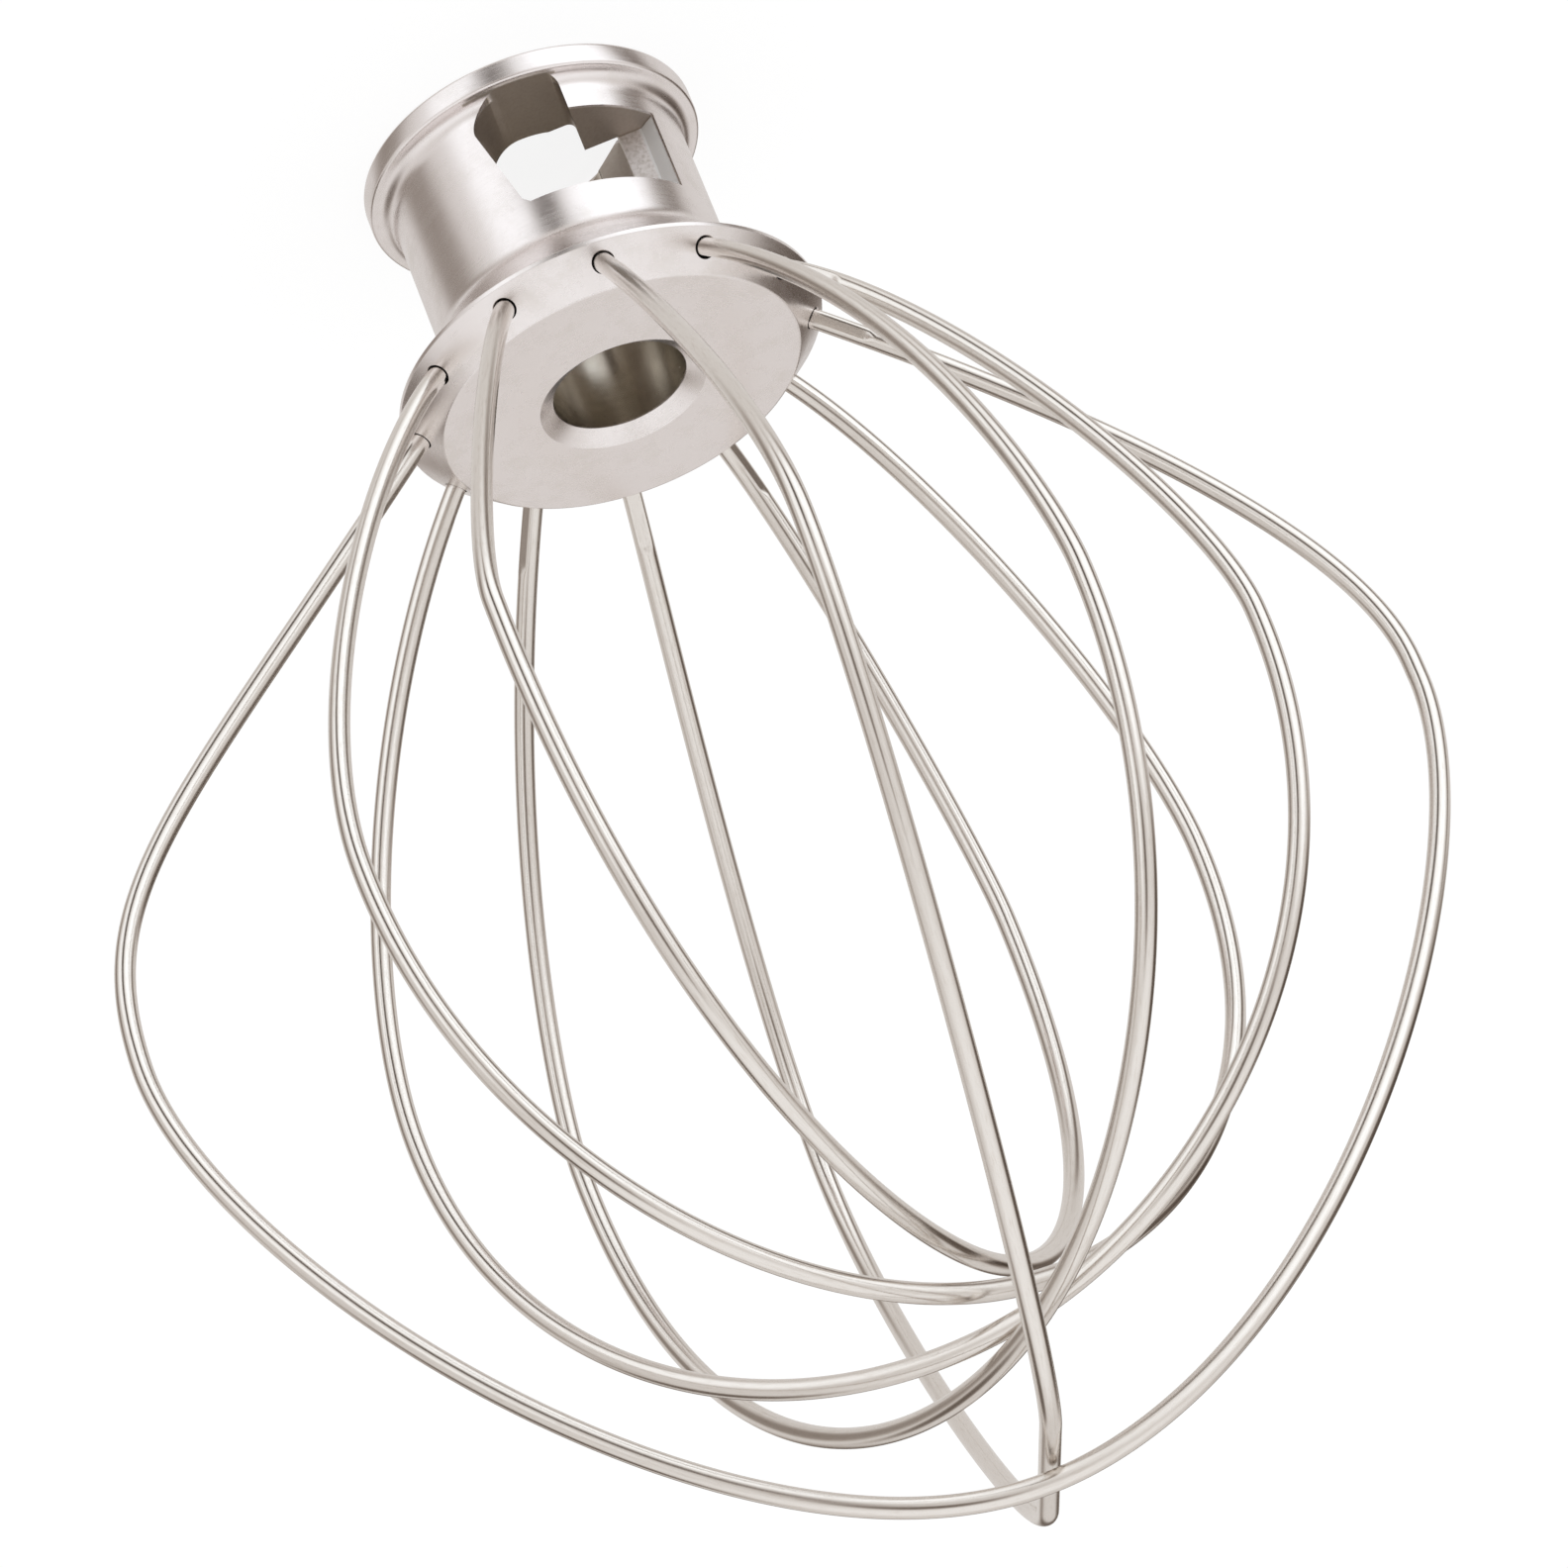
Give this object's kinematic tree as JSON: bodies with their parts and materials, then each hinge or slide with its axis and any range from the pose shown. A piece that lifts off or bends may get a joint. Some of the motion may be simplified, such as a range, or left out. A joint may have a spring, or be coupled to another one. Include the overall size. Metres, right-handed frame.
{
  "type": "mixer wire whip",
  "caption": "Wire whip for a planetary mixer: crossing bent steel wire loops seated in a turned steel hub with a shaft bore and a bayonet slot.",
  "frame": {"origin": "point on the axis of the shaft bore at the height where the whip balances, 2.7 mm past the hub's flat end face; the whip's centre of mass is within a millimetre of it", "axes": "+Z along the hub's axis, towards the tips of the loops; the whip stands on the collar face at z = -38.5 mm; -Y is 8 degrees off the middle of the bayonet window; +X and +Y lie in the planes of the two outer loops"},
  "size_m": [0.1501, 0.153, 0.1809],
  "materials": {
    "hub_steel": "satin, fine turning marks",
    "wire_steel": "polished, drawn along the wire"
  },
  "bodies": {
    "root": {"whip_hub": "hub_steel", "wire_loop_1": "wire_steel", "wire_loop_2": "wire_steel", "wire_loop_3": "wire_steel", "wire_loop_4": "wire_steel", "wire_loop_5": "wire_steel", "wire_loop_6": "wire_steel"}
  },
  "joints": []
}
